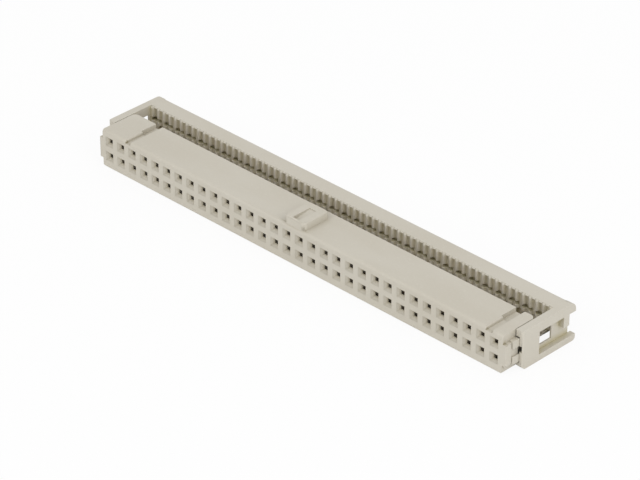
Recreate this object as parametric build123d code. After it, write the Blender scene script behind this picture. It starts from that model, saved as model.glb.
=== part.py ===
from build123d import *
import os

# Two-row insulation displacement socket for flat ribbon cable, with its cover raised.
# Millimetres. X runs along the rows, +Y from the mating face to the cable cover, +Z up.
# The origin is the centre of the mating face.

# Contact pattern
columns = 32
pitch = 2.54
row_spacing = 2.54
wires_per_column = 2

# Housing
housing_depth = 6.8
housing_height = 6.4
end_margin = 1.53
front_top_radius = 0.5
front_bottom_radius = 0.25
rear_corner_radius = 0.8
end_bottom_chamfer = 0.3

# Pin holes and contact cavities
funnel_width = 1.6
funnel_depth = 0.4
throat_width = 0.7
throat_end = 0.55
cavity_width = 1.0
cavity_height = 1.5
cavity_end = 4.85

# Catch rib and lugs on each end of the housing
rib_reach = 0.8
rib_bottom = -1.8
rib_top = 1.7
rib_depth = 1.2
rib_edge_radius = 0.25
lug_gap = 0.15
lug_length = 1.35
lug_height = 1.25
lug_top = 1.9
lug_bottom = -1.9
lug_ramp = 0.12
tongue_reach = 0.35

# Polarising key in the middle of the top
key_width = 4.1
key_front = 0.25
key_length = 5.3
key_height = 1.25
key_corner_radius = 0.7
key_edge_chamfer = 0.2
recess_width = 1.3
recess_front_wall = 0.4
recess_length = 3.5
recess_depth = 1.0

# Keying grooves across the top, each behind its number of columns counted from its own end
left_groove_columns = 2
right_groove_columns = 1
left_groove_width = 1.45
left_groove_shift = 0.1
right_groove_width = 1.65
groove_step_at = 3.7
groove_rear_depth = 0.75
groove_front_depth = 0.5
groove_front_inset = 0.4
groove_front_radius = 0.3

# Contacts
stock = 0.25
blade_thickness = 0.3
blade_level = 1.07
blade_width = 1.4
blade_reach = 1.1
wire_slot = 0.25
wire_slot_depth = 1.7
lead_in_depth = 0.45
tip_drop = 0.3
shoulder_clearance = 0.05
beam_width = 0.8
beam_front = 1.2
beam_spread = 0.52
beam_flare = 0.16
beam_pinch = 0.22
pinch_at = 2.0

# Cover
cover_travel = 2.6
cable_gap = 0.7
leg_gap = 0.15
leg_thickness = 1.25
bar_depth = 3.15
flange_overhang = 0.6
web_thickness = 0.3
comb_edge_chamfer = 0.3
bar_rear_radius = 0.45
flange_rear_radius = 1.2
leg_corner_radius = 0.35
leg_toe_chamfer = 0.6
lower_flange_radius = 0.6

# Wire grooves and tine pockets in the cover's comb
wire_groove_mouth = 1.0
wire_groove_floor = 0.5
wire_groove_depth = 0.45
tine_pocket_width = 1.95
tine_pocket_depth = 0.85
tine_clearance = 0.14
lower_pocket_top = 0.18

# Outer channel, window and hook of each leg
channel_front_wall = 3.6
channel_top = 1.6
channel_bottom = -2.15
window_setback = 0.75
window_length = 2.8
window_bottom = -1.5
hook_length = 1.2
hook_setback = 0.75
hook_height = 1.8

# Latch slot in the front of each leg, between the lugs
latch_slot_top = 0.65
latch_slot_bottom = -0.3
latch_slot_depth = 1.2
latch_slot_wall = 0.2

# Pocket inside each leg for the housing's rib and lugs
pocket_clearance = 0.2
pocket_wall = 0.45
pocket_length = 3.0

# Relief under the ends of the bar
relief_height = 2.25
relief_width = 2.75
relief_flat = 0.85
deep_relief_width = 4.4
deep_relief_setback = 0.9

# How far a cutting body runs past the surface it opens
overcut = 1

# Derived sizes
wire_pitch = pitch / wires_per_column
wire_count = columns * wires_per_column
column_x = [(i - (columns - 1) / 2) * pitch for i in range(columns)]
row_level = row_spacing / 2
top = housing_height / 2
housing_end = column_x[-1] + end_margin
rib_end = housing_end + rib_reach
rib_root = housing_end - end_margin / 2
left_groove_middle = column_x[left_groove_columns - 1] + pitch / 2 + left_groove_shift
right_groove_middle = column_x[-right_groove_columns] - pitch / 2
leg_inner = housing_end + leg_gap
leg_outer = leg_inner + leg_thickness
web_outer = leg_inner + web_thickness
leg_front = cover_travel
channel_front = leg_front + channel_front_wall
pocket_outer = leg_outer - pocket_wall
comb_face = housing_depth + cable_gap + cover_travel
bar_rear = comb_face + bar_depth
flange_rear = bar_rear + flange_overhang
spring_back = cavity_end - shoulder_clearance
blade_base = cavity_end + shoulder_clearance
tip = housing_depth + blade_reach


def block(x0, x1, y0, y1, z0, z1):
    """A box between two corners."""
    return Pos((x0 + x1) / 2, (y0 + y1) / 2, (z0 + z1) / 2) * Box(x1 - x0, y1 - y0, z1 - z0)


def both_ends(shape):
    """The shape and its mirror image at the other end of the rows."""
    return [shape, mirror(shape, about=Plane.YZ)]


def both_rows(shape):
    """The shape and the same shape given half a turn about Y, which puts it in the lower row."""
    return [shape, Rot(0, 180, 0) * shape]


def housing_shell():
    """The moulded block without holes: front edges and rear corners rounded, ends chamfered below."""
    body = block(-housing_end, housing_end, 0, housing_depth, -top, top)
    body = chamfer(body.edges().filter_by(Axis.Y).group_by(Axis.Z)[0], end_bottom_chamfer)
    front = body.edges().filter_by(Axis.X).group_by(Axis.Y)[0]
    body = fillet(front.sort_by(Axis.Z)[-1], front_top_radius)
    front = body.edges().filter_by(Axis.X).group_by(Axis.Y)[0]
    body = fillet(front.sort_by(Axis.Z)[0], front_bottom_radius)
    rear = body.edges().filter_by(Axis.Z).group_by(Axis.Y)[-1]
    return fillet(rear, rear_corner_radius)


def catch_lug():
    """One lug behind the rib, its four upright edges ramped, standing on z = 0."""
    front = rib_depth + lug_gap
    rear = front + lug_length
    plan = Polyline(
        (rib_root, front),
        (rib_end - lug_ramp, front),
        (rib_end, front + lug_ramp),
        (rib_end, rear - lug_ramp),
        (rib_end - lug_ramp, rear),
        (rib_root, rear),
        close=True,
    )
    return extrude(make_face(plan), amount=lug_height)


def end_catch():
    """The rib behind the mating face, with the upper and lower lug and the tongue between them."""
    rib = block(rib_root, rib_end, 0, rib_depth, rib_bottom, rib_top)
    rib = fillet(rib.edges().filter_by(Axis.Y).group_by(Axis.X)[-1], rib_edge_radius)
    upper = Pos(0, 0, lug_top - lug_height) * catch_lug()
    lower = Pos(0, 0, lug_bottom) * catch_lug()
    tongue_rear = rib_depth + lug_gap + lug_length
    tongue = block(rib_root, housing_end + tongue_reach, rib_depth, tongue_rear, rib_bottom, rib_top)
    return rib + upper + lower + tongue


def polarising_key():
    """The raised key, its corners rounded in plan and its rim chamfered, with an open recess."""
    outline = Pos(0, key_front + key_length / 2) * RectangleRounded(key_width, key_length, key_corner_radius)
    key = Pos(0, 0, top - front_top_radius) * extrude(outline, amount=key_height + front_top_radius)
    key = chamfer(key.faces().sort_by(Axis.Z)[-1].edges(), key_edge_chamfer)
    recess_front = key_front + recess_front_wall
    recess_rear = recess_front + recess_length
    floor = top + key_height - recess_depth
    half = recess_width / 2
    return key - block(-half, half, recess_front, recess_rear, floor, top + key_height + overcut)


def keying_groove(middle, width):
    """A groove across the top: square behind, shallower in front where one side rolls in."""
    left = middle - width / 2
    right = middle + width / 2
    rear_floor = top - groove_rear_depth
    rear = block(left, right, groove_step_at, housing_depth + overcut, rear_floor, top + overcut)
    side = left + groove_front_inset
    front_floor = top - groove_front_depth
    centre = (side - groove_front_radius, top - groove_front_radius)
    rolled_edge = CenterArc(centre, groove_front_radius, 0, 90)
    outline = Polyline(
        (side, top - groove_front_radius),
        (side, front_floor),
        (right, front_floor),
        (right, top + overcut),
        (side - groove_front_radius, top + overcut),
        (side - groove_front_radius, top),
    )
    profile = Plane.XZ * make_face(outline + rolled_edge)
    front = Pos(0, -overcut, 0) * extrude(profile, amount=-(groove_step_at + overcut))
    return [rear, front]


def contact_cavity():
    """Funnel, throat, spring cavity and fork slot of an upper contact whose column is at x = 0."""
    inset = (funnel_width - throat_width) / 2
    far = funnel_width - inset
    funnel = Wedge(funnel_width, funnel_depth, funnel_width, inset, inset, far, far)
    funnel = Pos(0, funnel_depth / 2, row_level) * funnel
    half = throat_width / 2
    throat = block(-half, half, funnel_depth, throat_end, row_level - half, row_level + half)
    half = cavity_width / 2
    rise = cavity_height / 2
    cavity = block(-half, half, throat_end, cavity_end, row_level - rise, row_level + rise)
    fork = -wire_pitch / 2
    half = blade_width / 2 + shoulder_clearance
    rise = blade_thickness / 2 + shoulder_clearance
    rear = housing_depth + overcut
    slot = block(fork - half, fork + half, cavity_end, rear, blade_level - rise, blade_level + rise)
    return funnel + throat + cavity + slot


def make_housing():
    """The socket housing with its key, grooves, end catches and a cavity for each contact."""
    body = housing_shell() + both_ends(end_catch()) + polarising_key()
    left_groove = keying_groove(left_groove_middle, left_groove_width)
    right_groove = keying_groove(right_groove_middle, right_groove_width)
    pair = both_rows(contact_cavity())
    cavities = [Pos(x, 0, 0) * cavity for x in column_x for cavity in pair]
    return body - (left_groove + right_groove + cavities)


def spring_part():
    """The receptacle: two beams bent towards each other, joined by a short back."""
    mouth = beam_pinch + beam_flare
    profile = Polyline(
        (spring_back, beam_spread + stock),
        (pinch_at, beam_pinch + stock),
        (beam_front, mouth + stock),
        (beam_front, mouth),
        (pinch_at, beam_pinch),
        (spring_back - stock, beam_spread),
        (spring_back - stock, -beam_spread),
        (pinch_at, -beam_pinch),
        (beam_front, -mouth),
        (beam_front, -mouth - stock),
        (pinch_at, -beam_pinch - stock),
        (spring_back, -beam_spread - stock),
        close=True,
    )
    beams = extrude(Plane.YZ * make_face(profile), amount=beam_width / 2, both=True)
    return Pos(0, 0, row_level) * beams


def fork_part():
    """The flat blade: neck and shoulder, then two pointed tines with the wire slot between them."""
    middle = -wire_pitch / 2
    half = blade_width / 2
    half_slot = wire_slot / 2
    peak = (half + half_slot) / 2
    neck_start = spring_back - stock / 2
    outline = Polyline(
        (-beam_width / 2, neck_start),
        (middle + half, neck_start),
        (middle + half, tip - tip_drop),
        (middle + peak, tip),
        (middle + half_slot, tip - lead_in_depth),
        (middle + half_slot, tip - wire_slot_depth),
        (middle - half_slot, tip - wire_slot_depth),
        (middle - half_slot, tip - lead_in_depth),
        (middle - peak, tip),
        (middle - half, tip - tip_drop),
        (middle - half, blade_base),
        (-beam_width / 2, blade_base),
        close=True,
    )
    blade = extrude(make_face(outline), amount=blade_thickness / 2, both=True)
    return Pos(0, 0, blade_level) * blade


def make_contacts(column):
    """The upper and the lower contact of one column: the same stamping, one turned over."""
    contact = spring_part() + fork_part()
    return Compound([Pos(column, 0, 0) * one for one in both_rows(contact)])


def leg_shell():
    """The outside of the leg at the +X end: rear and front corners rounded, its toe chamfered."""
    body = block(leg_inner, leg_outer, leg_front, flange_rear, -top, top)
    rear = body.edges().filter_by(Axis.X).group_by(Axis.Y)[-1]
    body = fillet(rear.sort_by(Axis.Z)[-1], flange_rear_radius)
    rear = body.edges().filter_by(Axis.X).group_by(Axis.Y)[-1]
    body = fillet(rear.sort_by(Axis.Z)[0], lower_flange_radius)
    front = body.edges().filter_by(Axis.X).group_by(Axis.Y)[0]
    body = chamfer(front.sort_by(Axis.Z)[0], leg_toe_chamfer)
    front = body.edges().filter_by(Axis.Z).group_by(Axis.Y)[0]
    return fillet(front.sort_by(Axis.X)[-1], leg_corner_radius)


def leg():
    """One leg of the cover, at the +X end: channel, window, hook, inner pocket and latch slot."""
    inside = leg_inner - overcut
    outside = leg_outer + overcut
    behind = flange_rear + overcut
    channel = block(web_outer, outside, channel_front, behind, channel_bottom, channel_top)
    web_end = block(inside, outside, bar_rear, behind, channel_bottom, channel_top)
    foot = block(inside, web_outer, bar_rear, behind, -top - overcut, top + overcut)
    window_front = channel_front + window_setback
    window_rear = window_front + window_length
    window = block(inside, leg_outer, window_front, window_rear, window_bottom, channel_top)
    pocket_bottom = lug_bottom - pocket_clearance
    pocket_top = lug_top + pocket_clearance
    in_front = leg_front - overcut
    pocket = block(inside, pocket_outer, in_front, leg_front + pocket_length, pocket_bottom, pocket_top)
    slot_outer = leg_outer - latch_slot_wall
    slot_rear = leg_front + latch_slot_depth
    latch_slot = block(inside, slot_outer, in_front, slot_rear, latch_slot_bottom, latch_slot_top)
    hook_rear = bar_rear - hook_setback
    hook_front = hook_rear - hook_length
    hook_bottom = channel_top - hook_height
    hook = block(web_outer, leg_outer, hook_front, hook_rear, hook_bottom, channel_top)
    return leg_shell() - [channel, web_end, foot, window, pocket, latch_slot] + hook


def bar():
    """The clamp bar between the legs, its long edges softened and its ends relieved underneath."""
    body = block(-leg_inner, leg_inner, comb_face, bar_rear, -top, top)
    body = chamfer(body.edges().filter_by(Axis.X).group_by(Axis.Y)[0], comb_edge_chamfer)
    body = fillet(body.edges().filter_by(Axis.X).group_by(Axis.Y)[-1], bar_rear_radius)
    relief_top = -top + relief_height
    slant = Polyline(
        (leg_inner, -top),
        (leg_inner, relief_top),
        (leg_inner - relief_flat, relief_top),
        (leg_inner - relief_width, -top),
        close=True,
    )
    slanted = extrude(Plane.XZ * make_face(slant), amount=-(bar_depth + 2 * overcut))
    slanted = Pos(0, comb_face - overcut, 0) * slanted
    deep_front = comb_face + deep_relief_setback
    deep_inner = leg_inner - deep_relief_width
    deep = block(deep_inner, leg_inner, deep_front, bar_rear + overcut, -top - overcut, relief_top)
    return body - both_ends(slanted) - both_ends(deep)


def wire_groove(x):
    """An upright groove with sloping sides that seats one wire."""
    half_mouth = wire_groove_mouth / 2
    half_floor = wire_groove_floor / 2
    floor = comb_face + wire_groove_depth
    outline = Polyline(
        (x - half_mouth, comb_face),
        (x - half_floor, floor),
        (x + half_floor, floor),
        (x + half_mouth, comb_face),
        close=True,
    )
    return extrude(make_face(outline), amount=top + overcut, both=True)


def tine_pockets(column):
    """The two pockets that take the fork tips of one column when the cover is pressed home."""
    front = comb_face - overcut
    floor = comb_face + tine_pocket_depth
    half = tine_pocket_width / 2
    rise = blade_thickness / 2 + tine_clearance
    upper = column - wire_pitch / 2
    lower = column + wire_pitch / 2
    return [
        block(upper - half, upper + half, front, floor, blade_level - rise, blade_level + rise),
        block(lower - half, lower + half, front, floor, -blade_level - rise, lower_pocket_top),
    ]


def make_cover():
    """The cable cover: the bar with its comb, and a leg at each end."""
    wires = [(i - (wire_count - 1) / 2) * wire_pitch for i in range(wire_count)]
    grooves = [wire_groove(x) for x in wires]
    pockets = [pocket for x in column_x for pocket in tine_pockets(x)]
    return bar() - (grooves + pockets) + both_ends(leg())


os.makedirs("parts", exist_ok=True)
export_step(make_housing(), "parts/housing.step")
export_step(make_cover(), "parts/cover.step")
for number, x in enumerate(column_x, start=1):
    export_step(make_contacts(x), f"parts/contacts_col_{number:02d}.step")
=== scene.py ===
import math

import bmesh
import bpy
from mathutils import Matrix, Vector


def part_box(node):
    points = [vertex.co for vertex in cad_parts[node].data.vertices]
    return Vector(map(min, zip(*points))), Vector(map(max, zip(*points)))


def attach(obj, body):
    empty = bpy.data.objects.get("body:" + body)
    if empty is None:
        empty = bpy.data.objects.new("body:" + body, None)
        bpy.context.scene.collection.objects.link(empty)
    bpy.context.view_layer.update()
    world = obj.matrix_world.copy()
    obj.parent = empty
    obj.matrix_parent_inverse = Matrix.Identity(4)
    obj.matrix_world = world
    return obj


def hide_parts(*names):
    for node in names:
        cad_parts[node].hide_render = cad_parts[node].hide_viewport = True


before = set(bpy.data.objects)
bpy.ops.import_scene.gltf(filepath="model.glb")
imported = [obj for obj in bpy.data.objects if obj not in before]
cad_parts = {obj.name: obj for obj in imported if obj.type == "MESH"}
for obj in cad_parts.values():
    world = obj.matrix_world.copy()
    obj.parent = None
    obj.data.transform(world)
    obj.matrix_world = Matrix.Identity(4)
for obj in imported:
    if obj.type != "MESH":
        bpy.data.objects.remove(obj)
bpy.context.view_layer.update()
scene = bpy.context.scene
scene.view_settings.view_transform = "Standard"

# Camera: a long lens well away from the connector, above the corner between the mating face and
# the right end, so that the rows run from upper left to lower right.
camera_place = (0.2997, -0.2986, 0.2614)
camera_turn = (math.radians(58.39), 0, math.radians(44.57))
focal_length = 192.49
sensor_width = 36
nearest_seen = 0.01
farthest_seen = 10
camera_data = bpy.data.cameras.new("camera")
camera_data.lens = focal_length
camera_data.sensor_width = sensor_width
camera_data.clip_start = nearest_seen
camera_data.clip_end = farthest_seen
camera = bpy.data.objects.new("camera", camera_data)
camera.location = camera_place
camera.rotation_euler = camera_turn
scene.collection.objects.link(camera)
scene.camera = camera


# Housing: one injection moulding in light beige, glass-filled thermoplastic. Its corners are
# slightly rounded where the mould's cavity was cut, and its skin has the fine grain of an eroded
# mould. Its colour carries a painted highlight on the outer corners and painted shade in its
# recesses, strongest in the pin holes' funnels. The contacts are pressed in from behind.
merge_distance = 1e-6
flat_angle = math.radians(0.5)
corner_angle = math.radians(50)
crease_angle = math.radians(33)
corner_radius = 0.00005
corner_segments = 2


def merged_shape(node):
    """The CAD node's shape as one closed mesh, its flat faces joined."""
    shape = bmesh.new()
    shape.from_mesh(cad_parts[node].data)
    bmesh.ops.remove_doubles(shape, verts=shape.verts, dist=merge_distance)
    bmesh.ops.dissolve_limit(shape, angle_limit=flat_angle, verts=shape.verts, edges=shape.edges)
    return shape


def move_corners(shape, region, offset):
    """Moves the corners between a region's low and high place; X counts outwards to both ends."""
    low, high = region
    for corner in shape.verts:
        end = 1 if corner.co.x > 0 else -1
        place = (corner.co.x * end, corner.co.y, corner.co.z)
        if all(least <= at <= most for least, at, most in zip(low, place, high)):
            corner.co += Vector((end * offset[0], offset[1], offset[2]))


def moulded_piece(name, shape, finish, kept_sharp=()):
    """A moulding of the shape: outer corners rounded but for those kept sharp, none in front of y = 0."""
    corners = []
    for edge in shape.edges:
        if edge.is_manifold and edge.calc_face_angle_signed() > corner_angle and edge not in kept_sharp:
            corners.append(edge)
    bmesh.ops.bevel(
        shape,
        geom=corners,
        offset=corner_radius,
        offset_type="OFFSET",
        affect="EDGES",
        segments=corner_segments,
        profile=0.5,
        material=-1,
        clamp_overlap=False,
    )
    for corner in shape.verts:
        corner.co.y = max(corner.co.y, 0)
    for face in shape.faces:
        face.smooth = True
    mesh = bpy.data.meshes.new(name)
    shape.to_mesh(mesh)
    shape.free()
    mesh.set_sharp_from_angle(angle=crease_angle)
    mesh.materials.append(finish)
    piece = bpy.data.objects.new(name, mesh)
    scene.collection.objects.link(piece)
    shading = piece.modifiers.new("even_flats", "WEIGHTED_NORMAL")
    shading.keep_sharp = True
    return piece


def new_group(name, outputs, inputs=(("Position", "NodeSocketVector"),)):
    """An empty shader group with the named sockets, and its input and output nodes."""
    group = bpy.data.node_groups.new(name, "ShaderNodeTree")
    for label, kind in inputs:
        group.interface.new_socket(label, in_out="INPUT", socket_type=kind)
    for label in outputs:
        group.interface.new_socket(label, in_out="OUTPUT", socket_type="NodeSocketFloat")
    return group, group.nodes.new("NodeGroupInput"), group.nodes.new("NodeGroupOutput")


def noise(tree, position, per_metre, detail, roughness=0.5, distortion=0):
    """Noise over the position, with its own count of features per metre along X, Y and Z."""
    stretched = tree.nodes.new("ShaderNodeVectorMath")
    stretched.operation = "MULTIPLY"
    stretched.inputs[1].default_value = per_metre
    tree.links.new(position, stretched.inputs[0])
    texture = tree.nodes.new("ShaderNodeTexNoise")
    texture.inputs["Scale"].default_value = 1
    texture.inputs["Detail"].default_value = detail
    texture.inputs["Roughness"].default_value = roughness
    texture.inputs["Distortion"].default_value = distortion
    tree.links.new(stretched.outputs["Vector"], texture.inputs["Vector"])
    return texture.outputs["Fac"]


def ranged(tree, value, start, end, low=0, high=1):
    """The value's way from start to end, laid out between low and high and held there."""
    span = tree.nodes.new("ShaderNodeMapRange")
    span.inputs["From Min"].default_value = start
    span.inputs["From Max"].default_value = end
    span.inputs["To Min"].default_value = low
    span.inputs["To Max"].default_value = high
    tree.links.new(value, span.inputs["Value"])
    return span.outputs["Result"]


def calculated(tree, operation, value, *others):
    """One step of arithmetic on a value; the others are values too, or plain numbers."""
    step = tree.nodes.new("ShaderNodeMath")
    step.operation = operation
    tree.links.new(value, step.inputs[0])
    for place, other in enumerate(others, start=1):
        if isinstance(other, (int, float)):
            step.inputs[place].default_value = other
        else:
            tree.links.new(other, step.inputs[place])
    return step.outputs["Value"]


def overlaid(tree, mask, under_colour, over_colour):
    """One colour laid over another where the mask says."""
    layer = tree.nodes.new("ShaderNodeMix")
    layer.data_type = "RGBA"
    tree.links.new(mask, layer.inputs["Factor"])
    if isinstance(under_colour, tuple):
        layer.inputs["A"].default_value = under_colour
    else:
        tree.links.new(under_colour, layer.inputs["A"])
    layer.inputs["B"].default_value = over_colour
    return layer.outputs["Result"]


def raised(tree, height, strength, distance):
    """The normals of a skin with this height, in shares of the distance in metres."""
    relief = tree.nodes.new("ShaderNodeBump")
    relief.inputs["Strength"].default_value = strength
    relief.inputs["Distance"].default_value = distance
    tree.links.new(height, relief.inputs["Height"])
    return relief.outputs["Normal"]


fine_grains = (9000, 9000, 9000)
coarse_grains = (2250, 2250, 2250)
fine_grain_share = 0.6
flow_bands = (60, 160, 160)
flow_levels = (0.35, 0.65)
fibres = (2200, 6000, 6000)
fleck_levels = (0.6, 0.72)


def eroded_grain():
    """The fine grain that a spark-eroded mould leaves on the resin: two sizes of soft bumps."""
    group, taken, given = new_group("eroded_grain", ["Height"])
    fine = noise(group, taken.outputs["Position"], fine_grains, detail=3, roughness=0.6)
    coarse = noise(group, taken.outputs["Position"], coarse_grains, detail=2)
    both = calculated(group, "MULTIPLY_ADD", fine, fine_grain_share, coarse)
    group.links.new(both, given.inputs["Height"])
    return group


def resin_flow():
    """Where the filled resin is a little darker along its flow, and where its glass shows as flecks."""
    group, taken, given = new_group("resin_flow", ["Drift", "Flecks"])
    drift = noise(group, taken.outputs["Position"], flow_bands, detail=4, distortion=0.6)
    group.links.new(ranged(group, drift, *flow_levels), given.inputs["Drift"])
    glass = noise(group, taken.outputs["Position"], fibres, detail=2)
    group.links.new(ranged(group, glass, *fleck_levels), given.inputs["Flecks"])
    return group


openness_rays = 6
recess_reach = 0.0012
# Openness levels that set the masks: painted highlight on the corners, painted shade in the recesses and
# near-black painted shade in the depths.
corner_openness = (0.95, 0.55)
recess_openness = (0.95, 0.4)
depth_openness = (0.35, 0.05)


def openness(group, reach, inside=False):
    """How open a point's surroundings are within the reach, outside the piece or under its skin."""
    view = group.nodes.new("ShaderNodeAmbientOcclusion")
    view.inside = inside
    view.only_local = True
    view.samples = openness_rays
    if isinstance(reach, (int, float)):
        view.inputs["Distance"].default_value = reach
    else:
        group.links.new(reach, view.inputs["Distance"])
    return view.outputs["AO"]


def corners_and_recesses():
    """Masks of outer corners, of recesses and of depths, from how open each point is; the resin paints a
    highlight on the corners and shade in the recesses and depths.
    """
    group, taken, given = new_group(
        "corners_and_recesses",
        ["Corners", "Recesses", "Depths"],
        (("Corner reach", "NodeSocketFloat"),),
    )
    under_skin = openness(group, taken.outputs["Corner reach"], inside=True)
    group.links.new(ranged(group, under_skin, *corner_openness), given.inputs["Corners"])
    around = openness(group, recess_reach)
    group.links.new(ranged(group, around, *recess_openness), given.inputs["Recesses"])
    group.links.new(ranged(group, around, *depth_openness), given.inputs["Depths"])
    return group


moulding_corner_reach = 0.00012
grain_group = eroded_grain()
flow_group = resin_flow()
edge_group = corners_and_recesses()
resin_colour = (0.575, 0.54, 0.462, 1)
flow_colour = (0.55, 0.512, 0.43, 1)
fleck_colour = (0.64, 0.61, 0.54, 1)
fleck_share = 0.5
# Painted highlight: the lighter beige laid onto the resin's outer corners.
corner_highlight_colour = (0.63, 0.6, 0.53, 1)
corner_highlight_share = 0.5
# Painted shade: the colour laid into the housing's recesses.
housing_recess_shade_colour = (0.21, 0.17, 0.07, 1)
# Painted shade: the near-black colour laid into the deepest holes and pockets.
depth_shade_colour = (0.09, 0.07, 0.03, 1)
depth_shade_share = 0.9
funnel_end = 0.0006
smooth_roughness = 0.5
rough_roughness = 0.62
grain_strength = 0.35
grain_height = 0.00001


def group_node(tree, group):
    """A node that holds the group."""
    node = tree.nodes.new("ShaderNodeGroup")
    node.node_tree = group
    return node


def resin_finish(name, pattern_place, recess_shade_colour, recess_shade_share, funnel_shade_share):
    """The matte light beige resin, its pattern moved so that two mouldings differ, with a painted highlight
    on its outer corners and painted shade in its recesses.
    """
    finish = bpy.data.materials.new(name)
    finish.use_nodes = True
    tree = finish.node_tree
    skin = tree.nodes["Principled BSDF"]
    where = tree.nodes.new("ShaderNodeTexCoord")
    place = tree.nodes.new("ShaderNodeMapping")
    place.inputs["Location"].default_value = pattern_place
    tree.links.new(where.outputs["Object"], place.inputs["Vector"])
    flow = group_node(tree, flow_group)
    tree.links.new(place.outputs["Vector"], flow.inputs["Position"])
    grain = group_node(tree, grain_group)
    tree.links.new(place.outputs["Vector"], grain.inputs["Position"])
    edges = group_node(tree, edge_group)
    edges.inputs["Corner reach"].default_value = moulding_corner_reach
    spot = tree.nodes.new("ShaderNodeSeparateXYZ")
    tree.links.new(where.outputs["Object"], spot.inputs["Vector"])
    # Painted shade: recesses are laid over with the recess shade colour, at the funnel share near the
    # mating face and at the recess share elsewhere.
    in_funnel = calculated(tree, "LESS_THAN", spot.outputs["Y"], funnel_end)
    share = calculated(tree, "MULTIPLY_ADD", in_funnel, funnel_shade_share - recess_shade_share, recess_shade_share)
    recess_shade = calculated(tree, "MULTIPLY", share, edges.outputs["Recesses"])
    flecks = calculated(tree, "MULTIPLY", flow.outputs["Flecks"], fleck_share)
    # Painted highlight: the outer corners are laid over with a lighter beige.
    corner_highlight = calculated(tree, "MULTIPLY", edges.outputs["Corners"], corner_highlight_share)
    # Painted shade: the deepest recesses are laid over with a near-black colour.
    depth_shade = calculated(tree, "MULTIPLY", edges.outputs["Depths"], depth_shade_share)
    colour = overlaid(tree, flow.outputs["Drift"], resin_colour, flow_colour)
    colour = overlaid(tree, flecks, colour, fleck_colour)
    colour = overlaid(tree, corner_highlight, colour, corner_highlight_colour)
    colour = overlaid(tree, recess_shade, colour, recess_shade_colour)
    colour = overlaid(tree, depth_shade, colour, depth_shade_colour)
    tree.links.new(colour, skin.inputs["Base Color"])
    sheen = ranged(tree, grain.outputs["Height"], 0, 1, rough_roughness, smooth_roughness)
    tree.links.new(sheen, skin.inputs["Roughness"])
    relief = raised(tree, grain.outputs["Height"], grain_strength, grain_height)
    tree.links.new(relief, skin.inputs["Normal"])
    return finish


pitch = 0.00254
first_column = -0.03937
mouth_reach = 0.0008
throat_reach = 0.00035
seen_throat_reach = 0.0003
throat_middle = 0.00045
behind_throat = 0.0006
throat_sink = 0.0001
hole_shift = Vector((-0.00005, 0, 0.00012))
same_size = 0.00001


def shape_pin_holes(shape):
    """Moves the pin holes a little, and makes their throats narrower and start deeper."""
    share = seen_throat_reach / throat_reach
    for corner in shape.verts:
        across, depth, height = corner.co
        column = first_column + round((across - first_column) / pitch) * pitch
        row = pitch / 2 if height > 0 else -pitch / 2
        reach = max(abs(across - column), abs(height - row))
        if abs(reach - mouth_reach) < same_size and depth < same_size:
            corner.co += hole_shift
        elif abs(reach - throat_reach) < same_size and depth < behind_throat:
            sink = throat_sink if depth < throat_middle else 0
            side = (across - column) * share
            rise = (height - row) * share
            corner.co = Vector((column + side, depth + sink, row + rise)) + hole_shift


recess_front = ((0.0006, 0.0006, 0.0034), (0.0007, 0.0007, 0.0035))
recess_front_rise = 0.0004
recess_rear = ((0.0006, 0.0041, 0.0034), (0.0007, 0.0042, 0.0035))
recess_rear_rise = 0.00085
crest_start = 0.04145
crest_share = 0.2
rib_depth = 0.00125
rib_bottom = -0.00185
rib_top = 0.00175
tongue = ((0.0412, 0.0011, rib_bottom), (0.0413, 0.0028, rib_top))
tongue_growth = 0.00015
lug_rear_ramps = ((0.0415, 0.00265, -0.00195), (0.0416, 0.00275, 0.00195))
lug_growth = 0.00012


def lower_ribs(shape):
    """Squashes the rounded crest of the catch rib at each end to its named share."""
    for corner in shape.verts:
        across, depth, height = corner.co
        if abs(across) > crest_start and depth < rib_depth and rib_bottom < height < rib_top:
            corner.co.x = math.copysign(crest_start + (abs(across) - crest_start) * crest_share, across)


housing_shape = merged_shape("housing")
shape_pin_holes(housing_shape)
move_corners(housing_shape, recess_front, (0, 0, recess_front_rise))
move_corners(housing_shape, recess_rear, (0, 0, recess_rear_rise))
lower_ribs(housing_shape)
move_corners(housing_shape, tongue, (tongue_growth, 0, 0))
move_corners(housing_shape, lug_rear_ramps, (lug_growth, 0, 0))
housing_finish = resin_finish("moulding", (0, 0, 0), housing_recess_shade_colour, recess_shade_share=0.18, funnel_shade_share=0.95)
housing = moulded_piece("socket_housing", housing_shape, housing_finish)
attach(housing, "socket")
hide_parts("housing")


# Cable cover: a second moulding in the same resin, with the comb that seats the wires and a
# springy leg at each end. It slides on the housing and stands in its raised place.
comb_front = 0.0100
comb_back = 0.0106
comb_edge = 0.0104
comb_level = 0.0031
facing_up = 0.9
groove_end_level = 0.0027
cut_tolerance = 1e-7
edge_tolerance = 0.00001
narrowest_groove = 0.0004
widest_groove = 0.0009
groove_tops = ((0, 0.0105, 0.00319), (0.041, 0.0106, 0.00321))
groove_slope = (0, -0.00033, -0.00018)
leg_pocket_wall = ((0.0418, 0.0025, -0.0022), (0.0419, 0.0057, 0.0022))
pocket_narrowing = 0.00014
end_relief = ((0.036, 0.01, -0.001), (0.0411, 0.0139, -0.0009))
relief_drop = 0.00035
flange_foot = ((0.041, 0.01285, 0.00295), (0.0414, 0.0139, 0.00325))
# Painted shade: the warm olive laid into the cover's recesses and comb grooves.
cover_recess_shade_colour = (0.5, 0.445, 0.25, 1)


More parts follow.
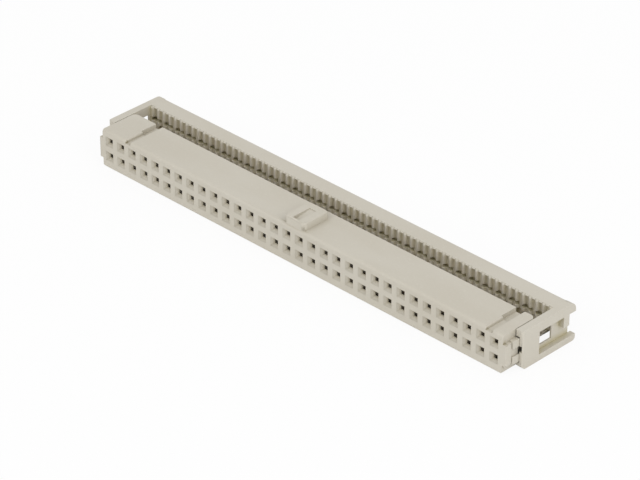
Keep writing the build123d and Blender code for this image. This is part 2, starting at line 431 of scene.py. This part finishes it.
def close_grooves(shape):
    """Closes each wire groove just below the bar's top, with a small sloping face of its own."""
    comb_parts = {}
    for face in shape.faces:
        if all(comb_front < corner.co.y < comb_back for corner in face.verts):
            comb_parts.update(dict.fromkeys((face, *face.edges, *face.verts)))
    bmesh.ops.bisect_plane(
        shape,
        geom=list(comb_parts),
        dist=cut_tolerance,
        plane_co=(0, 0, groove_end_level),
        plane_no=(0, 0, 1),
    )
    tops = []
    for face in shape.faces:
        if face.normal.z > facing_up and face.calc_center_median().z > comb_level:
            tops.append(face)
    for face in tops:
        mouths = [corner for corner in face.verts if abs(corner.co.y - comb_edge) < edge_tolerance]
        mouths.sort(key=lambda corner: corner.co.x)
        for left, right in zip(mouths, mouths[1:]):
            if narrowest_groove < right.co.x - left.co.x < widest_groove:
                bmesh.ops.connect_verts(shape, verts=[left, right])
    move_corners(shape, groove_tops, groove_slope)


def edges_within(shape, region):
    """The edges with both corners in a region, at either end of the rows."""
    low, high = region
    found = set()
    for edge in shape.edges:
        places = [(abs(corner.co.x), corner.co.y, corner.co.z) for corner in edge.verts]
        if all(low[axis] < place[axis] < high[axis] for place in places for axis in range(3)):
            found.add(edge)
    return found


cover_shape = merged_shape("cover")
close_grooves(cover_shape)
move_corners(cover_shape, leg_pocket_wall, (-pocket_narrowing, 0, 0))
move_corners(cover_shape, end_relief, (0, 0, -relief_drop))
cover_finish = resin_finish(
    "cover_moulding", (0.03, 0.01, 0.02), cover_recess_shade_colour, recess_shade_share=0.8, funnel_shade_share=0.8
)
foot_edges = edges_within(cover_shape, flange_foot)
cover = moulded_piece("cable_cover_moulding", cover_shape, cover_finish, foot_edges)
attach(cover, "cable_cover")
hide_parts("cover")


# Contacts: stamped from phosphor bronze strip and formed into a twin beam and a forked blade.
# They are pushed into the housing from behind and held by their shoulders.
bronze_colour = (0.76, 0.53, 0.33, 1)
tarnish_colour = (0.5, 0.31, 0.17, 1)
sheared_colour = (0.86, 0.66, 0.46, 1)
sheared_reach = 0.00006
polished_roughness = 0.22
drawn_roughness = 0.48
rolling_streaks = (40000, 900, 40000)
streak_strength = 0.3
streak_height = 0.000003
tarnish_patches = (1500, 1500, 1500)
tarnish_levels = (0.42, 0.68)


def rolled_strip():
    """Streaks along the rolled strip, and the duller patches where the bronze has tarnished."""
    group, taken, given = new_group("rolled_strip", ["Streaks", "Tarnish"])
    streaks = noise(group, taken.outputs["Position"], rolling_streaks, detail=3)
    group.links.new(streaks, given.inputs["Streaks"])
    patches = noise(group, taken.outputs["Position"], tarnish_patches, detail=4, roughness=0.6)
    group.links.new(ranged(group, patches, *tarnish_levels), given.inputs["Tarnish"])
    return group


def strip_finish():
    """The phosphor bronze of the contacts."""
    finish = bpy.data.materials.new("contact_metal")
    finish.use_nodes = True
    tree = finish.node_tree
    bronze = tree.nodes["Principled BSDF"]
    bronze.inputs["Metallic"].default_value = 1
    where = tree.nodes.new("ShaderNodeTexCoord")
    strip = group_node(tree, rolled_strip())
    tree.links.new(where.outputs["Object"], strip.inputs["Position"])
    edges = group_node(tree, edge_group)
    edges.inputs["Corner reach"].default_value = sheared_reach
    colour = overlaid(tree, strip.outputs["Tarnish"], bronze_colour, tarnish_colour)
    colour = overlaid(tree, edges.outputs["Corners"], colour, sheared_colour)
    tree.links.new(colour, bronze.inputs["Base Color"])
    drawn = ranged(tree, strip.outputs["Streaks"], 0, 1, polished_roughness, drawn_roughness)
    tree.links.new(drawn, bronze.inputs["Roughness"])
    relief = raised(tree, strip.outputs["Streaks"], streak_strength, streak_height)
    tree.links.new(relief, bronze.inputs["Normal"])
    return finish


contact_metal = strip_finish()
for name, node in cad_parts.items():
    if name.startswith("contacts_col_"):
        for material_slot in node.material_slots:
            material_slot.material = contact_metal


# Floor: a plain white sheet under the connector. Seen directly it glows almost white, so that
# only a faint shadow is left on it.
floor_gap = 0.00002
floor_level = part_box("housing")[0].z - floor_gap
floor_size = 3.0
paper_colour = (0.9, 0.9, 0.9, 1)
paper_roughness = 0.9
glow_share = 0.9
floor_shape = bmesh.new()
bmesh.ops.create_grid(floor_shape, x_segments=2, y_segments=2, size=floor_size)
bmesh.ops.translate(floor_shape, verts=floor_shape.verts, vec=(0, 0, floor_level))
floor_mesh = bpy.data.meshes.new("floor")
floor_shape.to_mesh(floor_mesh)
floor_shape.free()
floor = bpy.data.objects.new("floor", floor_mesh)
scene.collection.objects.link(floor)
paper = bpy.data.materials.new("white_paper")
paper.use_nodes = True
paper_tree = paper.node_tree
paper_skin = paper_tree.nodes["Principled BSDF"]
paper_skin.inputs["Base Color"].default_value = paper_colour
paper_skin.inputs["Roughness"].default_value = paper_roughness
glow = paper_tree.nodes.new("ShaderNodeEmission")
glow.inputs["Strength"].default_value = 1
rays = paper_tree.nodes.new("ShaderNodeLightPath")
seen = calculated(paper_tree, "MAXIMUM", rays.outputs["Is Camera Ray"], rays.outputs["Is Glossy Ray"])
glow_part = calculated(paper_tree, "MULTIPLY", seen, glow_share)
lit_paper = paper_tree.nodes.new("ShaderNodeMixShader")
paper_tree.links.new(glow_part, lit_paper.inputs["Fac"])
paper_tree.links.new(paper_skin.outputs["BSDF"], lit_paper.inputs[1])
paper_tree.links.new(glow.outputs["Emission"], lit_paper.inputs[2])
paper_tree.links.new(lit_paper.outputs["Shader"], paper_tree.nodes["Material Output"].inputs["Surface"])
floor.data.materials.append(paper)

# Light: a pale room all round, with one wide soft lamp to the right and a weaker one in front.
# Both stand at the same height and are wide enough that their shadows stay soft.
sky_strength = 0.8
world = bpy.data.worlds.new("room")
scene.world = world
world.use_nodes = True
sky = world.node_tree.nodes["Background"]
sky.inputs["Color"].default_value = (1, 1, 1, 1)
sky.inputs["Strength"].default_value = sky_strength
lamp_distance = 0.8
lamp_width = 0.45
lamp_elevation = math.radians(35)


def soft_lamp(name, azimuth, brightness):
    """A round area lamp that points at the connector; brightness is what it adds on a face square to it."""
    lamp_data = bpy.data.lights.new(name, "AREA")
    lamp_data.shape = "DISK"
    lamp_data.size = lamp_width
    lamp_data.energy = brightness * math.pi ** 2 * lamp_distance ** 2
    lamp = bpy.data.objects.new(name, lamp_data)
    across = lamp_distance * math.cos(lamp_elevation)
    lamp.location = (
        across * math.sin(azimuth),
        -across * math.cos(azimuth),
        lamp_distance * math.sin(lamp_elevation),
    )
    lamp.rotation_euler = (math.pi / 2 - lamp_elevation, 0, azimuth)
    scene.collection.objects.link(lamp)


soft_lamp("right_lamp", azimuth=math.radians(85), brightness=0.21)
soft_lamp("front_lamp", azimuth=math.radians(0), brightness=0.17)
